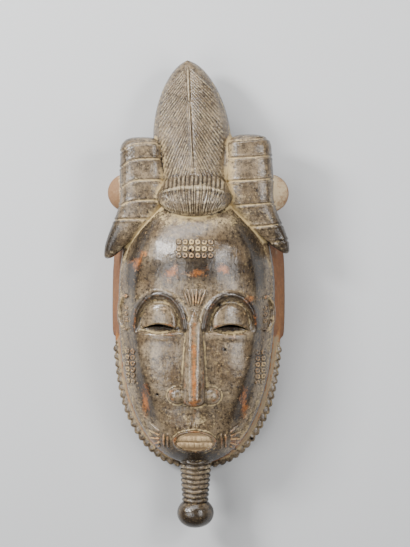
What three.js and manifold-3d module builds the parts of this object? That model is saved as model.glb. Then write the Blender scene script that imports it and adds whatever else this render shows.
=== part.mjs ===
// A Baule face mask, carved from one block of wood: a long oval face under a leaf-shaped crest,
// with two hanging tresses, a scalloped beard and a ringed beard plait that ends in a knob.
// Units are millimetres. The mask lies on its back: +Z is out of the face, +Y is towards the crest.
// All shapes are first laid out from the line where the head is widest, which is y = 0.
import * as THREE from "three";
import { ParametricGeometry } from "three/addons/geometries/ParametricGeometry.js";
import { mergeVertices } from "three/addons/utils/BufferGeometryUtils.js";
import Module from "manifold-3d";

const wasm = await Module();
wasm.setup();

// Head: the shell that the wearer's face goes into
const HEAD_HALF_WIDTH = 86;
const HEAD_ABOVE = 123; // from the widest line up to the top of the back rim
const HEAD_BELOW = 167.5; // from the widest line down to the back rim under the chin
const HEAD_SQUARE = 2.4; // squareness of the jaw's curve, where 2 is a plain ellipse
const WALL = 14; // thickness of the shell at its back rim
const EDGE_HEIGHT = 44; // height of the face's edge above the back rim

// Face: the oval in front of the shell
const FACE_INSET = 10.5; // the shell shows this far outside the face's edge, in bare wood
const CHIN_INSET = 7.5;
const FACE_ABOVE = 108; // the face runs on under the hair
const DOME = 48; // rise of the face above its edge
const FOREHEAD_RISE = 9;
const FOREHEAD_REACH_UP = 40;
const FOREHEAD_REACH_OUT = 52;
const MUZZLE_RISE = 8;
const MUZZLE_REACH_UP = 24;
const MUZZLE_REACH_OUT = 30;

// Hair: the leaf-shaped crest, the fluted roll across its foot and the tress down each side
const CREST_TIP = 230; // from the widest line of the head
const CREST_HALF_WIDTH = 37.5;
const CREST_WAIST = 0.12; // share by which it narrows at its foot
const CREST_WAIST_START = 10; // the narrowing starts this far over the roll's corners
const CREST_WAIST_END = 60;
const CREST_TAPER = 80; // length over which the crest comes to its point
const CREST_FRONT = 84; // height of its front at the roll
const CREST_TIP_FRONT = 44;
const CREST_BACK = 26;
const CREST_BACK_FULL = 0.9; // the back is flatter than the front
const CREST_SHIFT = 1.5; // the crest and roll stand a little to one side, and the crest leans that way
const CREST_LEAN = 4;
const LOCK_PITCH = 8; // spacing of the carved hair lines
const LOCK_DEPTH = 1;
const RIB_START = 6; // the crest's midrib stands out from here under the tip
const RIB_END = 44;
const RIB_WIDTH = 1.6;
const ROLL_HALF_WIDTH = 37;
const ROLL_CORNER = 98; // how far up the head the roll's two corners are
const ROLL_UP = 25;
const ROLL_DOWN = 22;
const ROLL_FRONT = 97;
const ROLL_BACK = 60;
const FLUTES = 15;
const FLUTE_DEPTH = 1.6;
const TRESS_TOP = 157;
const TRESS_TOP_DROP = 3; // the top on the crest's leaning side is this much lower
const TRESS_INNER = 28; // from the mask's middle to the tress's inner edge
const TRESS_OUTER = 71;
const TRESS_BULGE = 2.5;
const TRESS_BULGE_REACH = 25;
const TRESS_KNEE = 92; // the inner edge runs straight down to here, and then outwards
const TRESS_TIP = 43;
const TRESS_TIP_DROP = 6; // the tip on that side hangs this much lower
const TRESS_TIP_OUT = 89;
const TRESS_FRONT = 74;
const TRESS_BACK = 28;
const TRESS_CORNER = 9; // rounding of its top
const CORDS = 6; // incised lines round each tress
const CORD_WIDTH = 2.4;
const CORD_DEPTH = 1.3;
const WEB_HEIGHT = 62; // hair that fills the groove between the crest and each tress
const WEB_HALF_WIDTH = 9;
const WEB_HALF_LENGTH = 34;
const BUN_RADIUS = 18.5;
const BUN_OUT = 70;
const BUN_UP = 102;
const BUN_HEIGHT = 26;

// Beard and beard plait
const BEARD_TOP = -39;
const BEARD_THICKNESS = 9;
const BEARD_FRONT = 21;
const SCALLOP_PITCH = 8.5;
const SCALLOP_DEPTH = 3;
const PLAIT_RADIUS = 15.6;
const PLAIT_END_RADIUS = 12.4;
const PLAIT_LENGTH = 36;
const PLAIT_RINGS = 8;
const RING_DEPTH = 1.3;
const PLAIT_HEIGHT = 42; // the plait's axis above the back rim
const KNOB_RADIUS = 17.8;
const KNOB_LENGTH = 25;

// The face's parts stand at plain shares of its height, counted from the hairline down to the chin
const HAIRLINE = ROLL_CORNER - ROLL_DOWN;
const CHIN = -(HEAD_BELOW - CHIN_INSET);
const FACE_HEIGHT = HAIRLINE - CHIN;
const onFace = (share) => HAIRLINE - share * FACE_HEIGHT;
const SCAR_LINE = onFace(1 / 8);
const BROW_LINE = onFace(1 / 3);
const EYE_LINE = onFace(0.45);
const NOSE_END = onFace(3 / 4);
const MOUTH_LINE = onFace(0.9);
const FACE_HALF_WIDTH = HEAD_HALF_WIDTH - FACE_INSET;
const EYE_OUT = FACE_HALF_WIDTH * 0.45;
const LID_HALF_WIDTH = FACE_HALF_WIDTH * 0.23;
const LID_RISE = FACE_HEIGHT * 0.11;
const SOCKET_MARGIN = 3;
const SOCKET_DEPTH = 5;
const LID_PUFF = 6;
const SLIT_RISE = 5.5;
const SLIT_GAP = 2;
const BROW_HALF_WIDTH = 2.8;
const BROW_RELIEF = 2.6;
const NOSE_HALF_WIDTH = FACE_HALF_WIDTH / 3;
const NOSE_RIDGE_HALF_WIDTH = 9.5;
const NOSE_ROOT_HALF_WIDTH = 4.5;
const NOSE_RISE = 24;
const NOSTRIL_RADIUS = 7.5;
const LIP_HALF_WIDTH = 19;
const LIP_HALF_HEIGHT = 10.5;
const LIP_RELIEF = 4.5;
const LIP_THICKNESS = 3.2;
const TEETH = 6; // in each of the two rows
const EAR_HALF_HEIGHT = 16;
const EAR_HALF_WIDTH = 6.5;
const EAR_RIM = 2.6;

// Scars: raised studs, bars and rays
const STUD_PITCH = 6;
const STUD_SIZE = 2.5;
const STUD_RELIEF = 1.6;
const FOREHEAD_COLUMNS = 6;
const FOREHEAD_ROWS = 3;
const CHEEK_COLUMNS = 2;
const CHEEK_ROWS = 6;
const CHEEK_PITCH = 5.6;
const MARK_HALF_WIDTH = 1.3;
const MARK_RELIEF = 1.4;
const BARS = 2;
const RAYS = 5;
const BROW_MARKS = 6;

const SIDES = [-1, 1];
const OVERLAP = 3; // joined shapes run this far into each other
const FAR_FRONT = 140; // in front of every shape

// Turns a closed three.js geometry into a solid.
function solid(geometry) {
  const bare = new THREE.BufferGeometry();
  bare.setAttribute("position", geometry.getAttribute("position").clone());
  if (geometry.index) bare.setIndex(geometry.index.clone());
  const merged = mergeVertices(bare, 1e-3);
  const corners = [...merged.index.array];
  const triangles = [];
  for (let i = 0; i < corners.length; i += 3) {
    const [a, b, c] = corners.slice(i, i + 3);
    if (a !== b && b !== c && c !== a) triangles.push(a, b, c);
  }
  const build = (triVerts) =>
    new wasm.Manifold(
      new wasm.Mesh({
        numProp: 3,
        vertProperties: new Float32Array(merged.getAttribute("position").array),
        triVerts: new Uint32Array(triVerts),
      }),
    );
  const made = build(triangles);
  return made.volume() > 0 ? made : build(triangles.reverse());
}

// A closed surface from a function of u, which goes once round, and v, from one pole to the other.
function surface(place, around, along) {
  const at = (u, v, target) => {
    const wrapped = u >= 1 ? 0 : u;
    target.set(...place(wrapped * 2 * Math.PI, v));
  };
  return solid(new ParametricGeometry(at, around, along));
}

const power = (value, exponent) => Math.sign(value) * Math.abs(value) ** exponent;
const lerp = THREE.MathUtils.lerp;
const smooth = THREE.MathUtils.smoothstep;
const arc = (share) => Math.sqrt(Math.max(0, 1 - share ** 2)); // falls from 1 to 0 in a quarter circle
const bell = (distance, reach) => Math.exp(-((distance / reach) ** 2));

// An oval whose upper and lower halves differ in height and squareness.
function oval(halfWidth, above, below, squareAbove, squareBelow) {
  return {
    point(angle) {
      const square = Math.sin(angle) > 0 ? squareAbove : squareBelow;
      const height = Math.sin(angle) > 0 ? above : below;
      const x = halfWidth * power(Math.cos(angle), 2 / square);
      return [x, height * power(Math.sin(angle), 2 / square)];
    },
    share(x, y) {
      const square = y > 0 ? squareAbove : squareBelow;
      const height = y > 0 ? above : below;
      return (Math.abs(x / halfWidth) ** square + Math.abs(y / height) ** square) ** (1 / square);
    },
  };
}

const headOval = oval(HEAD_HALF_WIDTH, HEAD_ABOVE, HEAD_BELOW, 3, HEAD_SQUARE);
const faceOval = oval(FACE_HALF_WIDTH, FACE_ABOVE, HEAD_BELOW - CHIN_INSET, 2.4, 2.3);

// Height of the plain face, without eyes, nose or mouth.
function skin(x, y) {
  const out = Math.min(faceOval.share(x, y), 1);
  const dome = EDGE_HEIGHT + DOME * Math.sqrt(1 - out ** 2.4);
  const forehead = FOREHEAD_RISE * bell(y - SCAR_LINE, FOREHEAD_REACH_UP) * bell(x, FOREHEAD_REACH_OUT);
  const muzzle = MUZZLE_RISE * bell(y - MOUTH_LINE, MUZZLE_REACH_UP) * bell(x, MUZZLE_REACH_OUT);
  return dome + (forehead + muzzle) * (1 - out ** 6);
}

// The block: the face's dome, the side wall down to the back rim, and a flat back.
function block() {
  const rows = 14;
  const facePart = 9 / rows;
  const wallPart = 13 / rows;
  return surface(
    (angle, v) => {
      const [fx, fy] = faceOval.point(angle);
      const [hx, hy] = headOval.point(angle);
      if (v <= facePart) {
        const out = Math.sin((v / facePart) * (Math.PI / 2));
        return [fx * out, fy * out, skin(fx * out, fy * out)];
      }
      if (v > wallPart) {
        const back = (1 - v) / (1 - wallPart);
        const side = rimShare(hy);
        return [lerp(fx, hx, side) * back, lerp(fy, hy, side) * back, 0];
      }
      const down = (v - facePart) / (wallPart - facePart);
      const [reach, height] = wallPoint(hy, down);
      return [lerp(fx, hx, reach), lerp(fy, hy, reach), height];
    },
    40,
    rows,
  );
}

// Below the ears the wall steps out to a ledge that carries the beard, and its rim is set back.
const underBeard = (y) => smooth(-y, -BEARD_TOP - 2, -BEARD_TOP + 2);
const rimShare = (y) => lerp(1, 0.7, underBeard(y));
function wallPoint(y, down) {
  const plain = [down, EDGE_HEIGHT * (1 - down)];
  const ledge = BEARD_FRONT - OVERLAP;
  const stepped =
    down <= 0.4
      ? [0.1 * (down / 0.4), lerp(EDGE_HEIGHT, ledge, down / 0.4)]
      : [lerp(0.1, 0.7, Math.min((down - 0.4) / 0.2, 1)), ledge * Math.min((1 - down) / 0.4, 1)];
  const share = underBeard(y);
  return [lerp(plain[0], stepped[0], share), lerp(plain[1], stepped[1], share)];
}

// The hollow behind the face, open at the back and full enough to leave a wall of even thickness.
function hollow() {
  const inner = oval(HEAD_HALF_WIDTH - WALL, HEAD_ABOVE - WALL, HEAD_BELOW - 1.4 * WALL, 2.6, 2.1);
  const depth = EDGE_HEIGHT + DOME - WALL;
  const rows = 8;
  return surface(
    (angle, v) => {
      const [x, y] = inner.point(angle);
      const row = Math.round(v * rows);
      if (row < 2) return [x * row, y * row, -OVERLAP];
      const turn = ((row - 2) / (rows - 2)) * (Math.PI / 2);
      const open = Math.cos(turn) ** 0.7;
      return [x * open, y * open, depth * Math.sin(turn) ** 0.7];
    },
    28,
    rows,
  );
}

// A raised or sunken stroke along a curve that lies on the face, with rounded ends.
function stroke(points, halfWidth, relief, steps = 2, sides = 4, sink = OVERLAP) {
  const path = new THREE.CatmullRomCurve3(points.map(([x, y, z]) => new THREE.Vector3(x, y, z)));
  const middle = (relief - sink) / 2;
  const halfHeight = (relief + sink) / 2;
  return surface(
    (angle, v) => {
      const place = path.getPoint(v);
      const ahead = path.getTangent(v);
      const flat = Math.hypot(ahead.x, ahead.y) || 1;
      const taper = Math.sqrt(Math.max(0, 1 - Math.abs(2 * v - 1) ** 5));
      const across = halfWidth * taper * Math.cos(angle);
      const up = middle + halfHeight * taper * Math.sin(angle);
      return [place.x - (ahead.y / flat) * across, place.y + (ahead.x / flat) * across, place.z + up];
    },
    sides,
    steps,
  );
}

const onSkin = ([x, y]) => [x, y, skin(x, y)];

// A column with the given outline, between a floor and a roof that may both be curved.
function column(outline, floor, roof, around = 18, rings = 2) {
  const wall = 1 / (2 * rings + 1);
  return surface(
    (angle, v) => {
      const onFloor = v <= 0.5;
      const out = Math.min((onFloor ? v : 1 - v) / (rings * wall), 1);
      const [x, y] = outline(angle, out);
      return [x, y, onFloor ? floor(x, y, out) : roof(x, y, out)];
    },
    around,
    2 * rings + 1,
  );
}

// A half-moon that stands on the eye line: a flat foot and an arched top.
function halfMoon(middle, halfWidth, rise) {
  const foot = EYE_LINE + rise * 0.3;
  return (angle, out) => {
    const x = middle + out * halfWidth * power(Math.cos(angle), 0.9);
    const arch = foot + out * rise * 0.7 * Math.sin(angle);
    const flat = foot - out * rise * 0.3 * Math.sqrt(Math.abs(Math.sin(angle)));
    return [x, Math.sin(angle) >= 0 ? arch : flat];
  };
}

function sockets() {
  return SIDES.map((side) =>
    column(
      halfMoon(side * EYE_OUT, LID_HALF_WIDTH + SOCKET_MARGIN, LID_RISE + SOCKET_MARGIN),
      (x, y) => skin(x, y) - SOCKET_DEPTH,
      () => FAR_FRONT,
    ),
  );
}

function lids() {
  return SIDES.map((side) =>
    column(
      halfMoon(side * EYE_OUT, LID_HALF_WIDTH, LID_RISE),
      (x, y) => skin(x, y) - SOCKET_DEPTH - OVERLAP,
      (x, y, out) => skin(x, y) - SOCKET_DEPTH + LID_PUFF * Math.sqrt(1.05 - out ** 2),
    ),
  );
}

// Crescent below each lid: a sunken bed, and a narrow slit right through under the lid's edge.
function crescent(side, bottomRise, floor) {
  const reach = LID_HALF_WIDTH * 0.95;
  const arch = (x, rise) => EYE_LINE + rise * (1 - (x / reach) ** 2);
  const shape = new THREE.Shape();
  const steps = 10;
  for (let i = 0; i <= steps; i++) {
    const x = lerp(-reach, reach, i / steps);
    if (i === 0) shape.moveTo(x, arch(x, SLIT_RISE));
    else shape.lineTo(x, arch(x, SLIT_RISE));
  }
  for (let i = 1; i < steps; i++) {
    const x = lerp(reach, -reach, i / steps);
    shape.lineTo(x, arch(x, bottomRise));
  }
  const geometry = new THREE.ExtrudeGeometry(shape, { depth: FAR_FRONT - floor, bevelEnabled: false });
  return solid(geometry.translate(side * EYE_OUT, 0, floor));
}

function slits() {
  return SIDES.flatMap((side) => [
    crescent(side, 0, skin(EYE_OUT, EYE_LINE) - 2 * SOCKET_DEPTH),
    crescent(side, SLIT_RISE - SLIT_GAP, -OVERLAP),
  ]);
}

// Brows: one arched ridge over each eye, running down into the side of the nose.
function brows() {
  const reach = LID_HALF_WIDTH + 2.6 * SOCKET_MARGIN;
  const rise = LID_RISE + 2.6 * SOCKET_MARGIN;
  return SIDES.map((side) => {
    const points = [[side * NOSE_ROOT_HALF_WIDTH, EYE_LINE + rise * 0.25]];
    for (let turn = 150; turn >= 0; turn -= 25) {
      const angle = THREE.MathUtils.degToRad(turn);
      points.push([side * (EYE_OUT + reach * Math.cos(angle)), EYE_LINE + rise * Math.sin(angle)]);
    }
    return stroke(points.map(onSkin), BROW_HALF_WIDTH, BROW_RELIEF, 9, 6, 2 * OVERLAP);
  });
}

// Nose: a long straight ridge that rises and widens towards its end, with a round wing each side.
function nose() {
  const root = lerp(BROW_LINE, EYE_LINE, 0.3);
  const ridge = surface(
    (angle, v) => {
      const shut = Math.min(1, 12 * v) * arc(Math.max(0, (v - 0.7) / 0.3));
      const down = 1 - (1 - v) ** 1.5;
      const y = lerp(root, NOSE_END, down);
      const halfWidth = lerp(NOSE_ROOT_HALF_WIDTH, NOSE_RIDGE_HALF_WIDTH, down) * shut;
      const top = lerp(BROW_RELIEF, NOSE_RISE, down ** 1.3) * shut;
      const height = Math.sin(angle) > 0 ? top * Math.sin(angle) ** 0.6 : 2 * OVERLAP * Math.sin(angle);
      return [halfWidth * power(Math.cos(angle), 0.7), y, skin(0, y) + height];
    },
    10,
    10,
  );
  const wings = SIDES.map((side) => {
    const x = side * (NOSE_HALF_WIDTH - 1.3 * NOSTRIL_RADIUS);
    const y = NOSE_END + NOSTRIL_RADIUS * 1.3;
    const ball = new THREE.SphereGeometry(NOSTRIL_RADIUS, 9, 6);
    return solid(ball.scale(1.3, 1, 1.1).translate(x, y, skin(x, y) + NOSTRIL_RADIUS * 0.4));
  });
  return [ridge, ...wings];
}

// Mouth: a raised oval lip round a plate with two rows of teeth.
function mouth() {
  const lip = surface(
    (angle, v) => {
      const turn = v * 2 * Math.PI;
      const out = 1 + (LIP_THICKNESS / LIP_HALF_HEIGHT) * 0.5 * Math.cos(turn);
      const x = LIP_HALF_WIDTH * out * Math.cos(angle);
      const y = MOUTH_LINE + LIP_HALF_HEIGHT * out * Math.sin(angle);
      return [x, y, skin(x, y) + LIP_RELIEF * Math.sin(turn)];
    },
    24,
    5,
  );
  const plate = column(
    (angle, out) => [
      out * LIP_HALF_WIDTH * Math.cos(angle),
      MOUTH_LINE + out * LIP_HALF_HEIGHT * Math.sin(angle),
    ],
    (x, y) => skin(x, y) - OVERLAP,
    (x, y) => skin(x, y) + LIP_RELIEF * 0.3,
    16,
    1,
  );
  const width = (1.5 * LIP_HALF_WIDTH) / TEETH;
  const height = LIP_HALF_HEIGHT * 0.6;
  const teeth = [];
  for (let i = 0; i < TEETH; i++) {
    for (const row of SIDES) {
      const x = (i - (TEETH - 1) / 2) * width;
      const y = MOUTH_LINE + row * height * 0.6;
      const tooth = new THREE.BoxGeometry(width * 0.72, height * 0.85, 2 * LIP_RELIEF);
      teeth.push(solid(tooth.translate(x, y, skin(x, y) - LIP_RELIEF * 0.2)));
    }
  }
  return [lip, plate, ...teeth, lipMark()];
}

// Small raised mark over the upper lip.
function lipMark() {
  const top = MOUTH_LINE + LIP_HALF_HEIGHT + LIP_THICKNESS;
  return stroke([[0, top, 0], [0, top + 6, 0]].map(onSkin), 2.2, MARK_RELIEF);
}

function ears() {
  const middleX = FACE_HALF_WIDTH - EAR_HALF_WIDTH;
  const middleY = EYE_LINE + EAR_HALF_HEIGHT;
  return SIDES.map((side) => {
    const points = [];
    for (let turn = 120; turn >= -120; turn -= 30) {
      const angle = THREE.MathUtils.degToRad(turn);
      const x = side * (middleX + EAR_HALF_WIDTH * Math.cos(angle));
      points.push([x, middleY + EAR_HALF_HEIGHT * Math.sin(angle)]);
    }
    return stroke(points.map(onSkin), EAR_RIM, EAR_RIM, 8, 6, 3 * OVERLAP);
  });
}

// Scars: blocks of studs, and bars and rays beside the mouth and between the brows.
function stud(x, y) {
  const height = STUD_RELIEF + OVERLAP;
  const point = new THREE.ConeGeometry(STUD_SIZE * 2, height, 4).rotateX(Math.PI / 2);
  return solid(point.translate(x, y, skin(x, y) + STUD_RELIEF - height / 2));
}

function studBlock(middleX, middleY, columns, rows, pitch) {
  const studs = [];
  for (let across = 0; across < columns; across++) {
    for (let up = 0; up < rows; up++) {
      const x = middleX + (across - (columns - 1) / 2) * pitch;
      studs.push(stud(x, middleY + (up - (rows - 1) / 2) * pitch));
    }
  }
  return studs;
}

function scars() {
  const cheekX = FACE_HALF_WIDTH * 0.84;
  const cheekY = (EYE_LINE + NOSE_END) / 2;
  const cheeks = SIDES.flatMap((side) =>
    studBlock(side * cheekX, cheekY, CHEEK_COLUMNS, CHEEK_ROWS, CHEEK_PITCH),
  );
  const marks = [];
  for (const side of SIDES) {
    const from = side * (LIP_HALF_WIDTH + 2 * LIP_THICKNESS);
    for (let i = 0; i < BARS; i++) {
      const x = from + side * i * 3 * MARK_HALF_WIDTH;
      const ends = [[x, MOUTH_LINE + 8], [x, MOUTH_LINE - 8]];
      marks.push(stroke(ends.map(onSkin), MARK_HALF_WIDTH, MARK_RELIEF));
    }
    const root = from + side * BARS * 3 * MARK_HALF_WIDTH;
    for (let i = 0; i < RAYS; i++) {
      const turn = THREE.MathUtils.degToRad(lerp(38, -42, i / (RAYS - 1)));
      const reach = lerp(13, 7, i / (RAYS - 1));
      const y = MOUTH_LINE + lerp(9, -4, i / (RAYS - 1));
      const end = [root + side * reach * Math.cos(turn), y + reach * Math.sin(turn)];
      marks.push(stroke([[root, y], end].map(onSkin), MARK_HALF_WIDTH, MARK_RELIEF));
    }
  }
  for (let i = 0; i < BROW_MARKS; i++) {
    const share = i / (BROW_MARKS - 1) - 0.5;
    const ends = [[24 * share, BROW_LINE + 10], [12 * share, BROW_LINE - 5]];
    marks.push(stroke(ends.map(onSkin), MARK_HALF_WIDTH, MARK_RELIEF));
  }
  const forehead = studBlock(0, SCAR_LINE, FOREHEAD_COLUMNS, FOREHEAD_ROWS, STUD_PITCH);
  return [...forehead, ...cheeks, ...marks];
}

// Beard: a thin plate round the jaw with a scalloped edge.
function beard() {
  const start = Math.asin((-BEARD_TOP / HEAD_BELOW) ** (HEAD_SQUARE / 2));
  const edge = [];
  for (let i = 0; i <= 40; i++) {
    const [x, y] = headOval.point(lerp(-start, -Math.PI + start, i / 40));
    edge.push(new THREE.Vector2(x, y));
  }
  const curve = new THREE.SplineCurve(edge);
  const scallops = Math.round(curve.getLength() / SCALLOP_PITCH);
  const perScallop = 3;
  const shape = new THREE.Shape();
  const count = scallops * perScallop;
  for (let i = 0; i <= count; i++) {
    const at = curve.getPointAt(i / count);
    const ahead = curve.getTangentAt(i / count);
    const bulge = SCALLOP_DEPTH * (Math.abs(Math.sin((i / perScallop) * Math.PI)) - 0.5);
    const x = at.x - ahead.y * -bulge;
    const y = at.y + ahead.x * -bulge;
    if (i === 0) shape.moveTo(x, y);
    else shape.lineTo(x, y);
  }
  for (let i = 20; i >= 0; i--) {
    const [x, y] = faceOval.point(lerp(-start, -Math.PI + start, i / 20));
    shape.lineTo(x * 0.93, y * 0.93);
  }
  const plate = new THREE.ExtrudeGeometry(shape, { depth: BEARD_THICKNESS, bevelEnabled: false });
  return solid(plate.translate(0, 0, BEARD_FRONT - BEARD_THICKNESS));
}

// Plait: a ringed neck that narrows to a knob, turned to hang below the chin.
function plait() {
  const top = -HEAD_BELOW + 2 * OVERLAP;
  const profile = [new THREE.Vector2(0, top + 3 * OVERLAP), new THREE.Vector2(PLAIT_RADIUS, top + 3 * OVERLAP)];
  const pitch = PLAIT_LENGTH / PLAIT_RINGS;
  for (let i = 0; i < PLAIT_RINGS; i++) {
    const radius = lerp(PLAIT_RADIUS, PLAIT_END_RADIUS, i / (PLAIT_RINGS - 1));
    const y = top - i * pitch;
    profile.push(new THREE.Vector2(radius - RING_DEPTH, y));
    profile.push(new THREE.Vector2(radius, y - pitch * 0.5));
  }
  const neckEnd = top - PLAIT_LENGTH;
  const steps = 7;
  for (let i = 1; i <= steps; i++) {
    const turn = lerp(0.24, 1, i / steps) * Math.PI;
    const down = (Math.cos(0.24 * Math.PI) - Math.cos(turn)) / (Math.cos(0.24 * Math.PI) + 1);
    profile.push(new THREE.Vector2(KNOB_RADIUS * Math.sin(turn), neckEnd - KNOB_LENGTH * down));
  }
  const turned = new THREE.LatheGeometry(profile, 12);
  return solid(turned.translate(0, 0, PLAIT_HEIGHT));
}

const crestTurn = THREE.MathUtils.degToRad(CREST_LEAN);
const crestHalfWidth = (y) => {
  const open = Math.min(Math.max((CREST_TIP - y) / CREST_TAPER, 0), 1);
  const waist = smooth(-y, -ROLL_CORNER - CREST_WAIST_END, -ROLL_CORNER - CREST_WAIST_START);
  return CREST_HALF_WIDTH * Math.sin((open * Math.PI) / 2) ** 0.55 * (1 - CREST_WAIST * waist);
};
const crestUp = (y) => (y - ROLL_CORNER) / (CREST_TIP - ROLL_CORNER);
const crestFront = (y) => lerp(CREST_FRONT, CREST_TIP_FRONT, crestUp(y) ** 2);
const crestMiddle = (y) => lerp(CREST_BACK, crestFront(y), 0.45);

// Height of the crest's front at a point, with a soft roof shape across it.
function crestSkin(x, y) {
  const out = Math.min(Math.abs(x) / crestHalfWidth(y), 1);
  return crestMiddle(y) + (crestFront(y) - crestMiddle(y)) * arc(out);
}

function crest() {
  const foot = ROLL_CORNER - OVERLAP;
  const leaf = surface(
    (angle, v) => {
      const y = lerp(foot, CREST_TIP, Math.sin((v * Math.PI) / 2));
      if (v <= 0 || v >= 1) return [0, y, crestMiddle(y)];
      const x = crestHalfWidth(y) * Math.cos(angle);
      const middle = crestMiddle(y);
      const back = middle + (middle - CREST_BACK) * CREST_BACK_FULL * Math.sin(angle);
      return [x, y, Math.sin(angle) > 0 ? crestSkin(x, y) : back];
    },
    16,
    12,
  );
  const grooves = [];
  const start = ROLL_CORNER + ROLL_UP;
  for (const side of SIDES) {
    for (let y = start + LOCK_PITCH; y < CREST_TIP - 4 * LOCK_DEPTH; y += LOCK_PITCH) {
      const rise = lerp(2.4, 1.3, smooth(y, start, CREST_TIP));
      const points = [0.08, 0.4, 0.78].map((share) => {
        const reach = share * crestHalfWidth(y);
        const py = Math.max(y - rise * reach, start - OVERLAP);
        const px = (reach * (y - py)) / Math.max(rise * reach, 1e-6);
        return [side * px, py, crestSkin(px, py)];
      });
      grooves.push(stroke(points, 2 * LOCK_DEPTH, 3 * LOCK_DEPTH, 2, 4, LOCK_DEPTH));
    }
  }
  const rib = [0, 0.42, 1].map((share) => {
    const y = CREST_TIP - lerp(RIB_START, RIB_END, share);
    return [0, y, crestSkin(0, y)];
  });
  const midrib = stroke(rib, RIB_WIDTH, LOCK_DEPTH, 4);
  const carved = leaf.subtract(wasm.Manifold.union(grooves)).add(midrib);
  const upright = carved.translate([-CREST_SHIFT, -ROLL_CORNER, 0]);
  return upright.rotate([0, 0, CREST_LEAN]).translate([0, ROLL_CORNER, 0]);
}

// Fluted roll of hair across the crest's foot: full below its ridge, and leaning back above it.
// Its section runs from foot over ridge to top and back inside: [share of height, share of swell].
const ROLL_SECTION = [[0, 0.2], [0.03, 0.75], [0.28, 1], [0.6, 1], [0.66, 0.9], [1, 0.45], [1, 0], [0.5, -0.3]];

function roll() {
  const slices = 2 * FLUTES;
  return surface(
    (angle, v) => {
      const x = lerp(-ROLL_HALF_WIDTH, ROLL_HALF_WIDTH, v);
      const open = arc(x / ROLL_HALF_WIDTH);
      const corner = Math.round((angle / (2 * Math.PI)) * ROLL_SECTION.length) % ROLL_SECTION.length;
      const [height, swell] = ROLL_SECTION[corner];
      const foot = ROLL_CORNER - ROLL_DOWN * open;
      const top = ROLL_CORNER + ROLL_UP * open;
      const flute = swell > 0.5 && Math.round(v * slices) % 2 === 1 ? FLUTE_DEPTH : 0;
      const front = ROLL_BACK + (ROLL_FRONT - ROLL_BACK) * swell * open ** 0.6;
      return [x - CREST_SHIFT, lerp(foot, top, height * open ** 0.2), front - flute];
    },
    ROLL_SECTION.length,
    slices,
  );
}

// Tresses: a broad lock of hair down each side, bound with cords, whose tip is flung outwards.
function tress(side) {
  const end = side < 0 ? TRESS_TOP - TRESS_TOP_DROP : TRESS_TOP;
  const top = end - TRESS_CORNER;
  const tip = side < 0 ? TRESS_TIP - TRESS_TIP_DROP : TRESS_TIP;
  const spacing = (top - tip) / (CORDS + 0.4);
  const rows = [[end, 0], [end, 0.72], [end - TRESS_CORNER / 3, 0.92]];
  for (let i = 0; i < CORDS; i++) {
    const y = top - i * spacing;
    rows.push([y, 1], [y - CORD_WIDTH / 2, 1, CORD_DEPTH], [y - CORD_WIDTH, 1]);
  }
  rows.push([tip + 2, 1], [tip, 0]);
  const middleHeight = (TRESS_FRONT + TRESS_BACK) / 2;
  return surface(
    (angle, v) => {
      const [y, open, cut = 0] = rows[Math.round(v * (rows.length - 1))];
      const fall = Math.max((TRESS_KNEE - y) / (TRESS_KNEE - tip), 0);
      const room = side < 0 ? Math.max(y - ROLL_CORNER, 0) * Math.sin(crestTurn) : 0;
      const inner = lerp(TRESS_INNER + room, TRESS_TIP_OUT - 6, fall ** 1.25);
      const flare = smooth(-y, -TRESS_KNEE - 12, -tip - 4);
      const middle = (TRESS_TOP + TRESS_TIP) / 2 + TRESS_CORNER;
      const bulge = TRESS_BULGE * bell(y - middle, TRESS_BULGE_REACH);
      const outer = lerp(TRESS_OUTER + 0.8 * room + bulge, TRESS_TIP_OUT, flare);
      const wide = open * ((outer - inner) / 2 - cut);
      const tall = open * (((TRESS_FRONT - TRESS_BACK) / 2) * lerp(1, 0.35, fall ** 1.5) - cut);
      const x = (inner + outer) / 2 + wide * power(Math.cos(angle), 0.7);
      return [side * x, y, middleHeight + tall * power(Math.sin(angle), 0.7)];
    },
    10,
    rows.length - 1,
  );
}

// Hair that fills the groove between the crest and each tress.
function webs() {
  return SIDES.map((side) => {
    const middleHeight = (WEB_HEIGHT + TRESS_BACK) / 2;
    const y = (ROLL_CORNER + TRESS_TOP) / 2;
    const ball = new THREE.SphereGeometry(1, 8, 6);
    ball.scale(WEB_HALF_WIDTH, WEB_HALF_LENGTH, WEB_HEIGHT - middleHeight);
    const lean = side < 0 ? (y - ROLL_CORNER) * Math.sin(crestTurn) : 0;
    return solid(ball.translate(side * (TRESS_INNER + lean), y, middleHeight));
  });
}

// Bare wooden bun behind each tress.
function buns() {
  return SIDES.map((side) => {
    const ball = new THREE.SphereGeometry(BUN_RADIUS, 11, 7);
    return solid(ball.translate(side * BUN_OUT, BUN_UP, BUN_HEIGHT));
  });
}

// The pieces of the carving join as one solid, because the mask is cut from one block.
function mask() {
  const shell = block().subtract(wasm.Manifold.union(sockets()));
  const raised = [
    shell,
    ...lids(),
    ...brows(),
    ...nose(),
    ...mouth(),
    ...ears(),
    ...scars(),
    beard(),
    plait(),
    crest(),
    roll(),
    ...SIDES.map(tress),
    ...webs(),
    ...buns(),
  ];
  return wasm.Manifold.union(raised).subtract(wasm.Manifold.union([hollow(), ...slits()]));
}

// A three.js geometry from a solid.
function geometryOf(made) {
  const { numProp, vertProperties, triVerts } = made.getMesh();
  const geometry = new THREE.BufferGeometry();
  const places = new THREE.InterleavedBuffer(vertProperties, numProp);
  geometry.setAttribute("position", new THREE.InterleavedBufferAttribute(places, 3, 0));
  geometry.setIndex(new THREE.BufferAttribute(triVerts, 1));
  return geometry;
}

const wood = new THREE.MeshStandardMaterial({ color: 0x5a4c40, roughness: 0.45, metalness: 0 });
const carving = new THREE.Mesh(geometryOf(mask()), wood);
carving.name = "mask";

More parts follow.
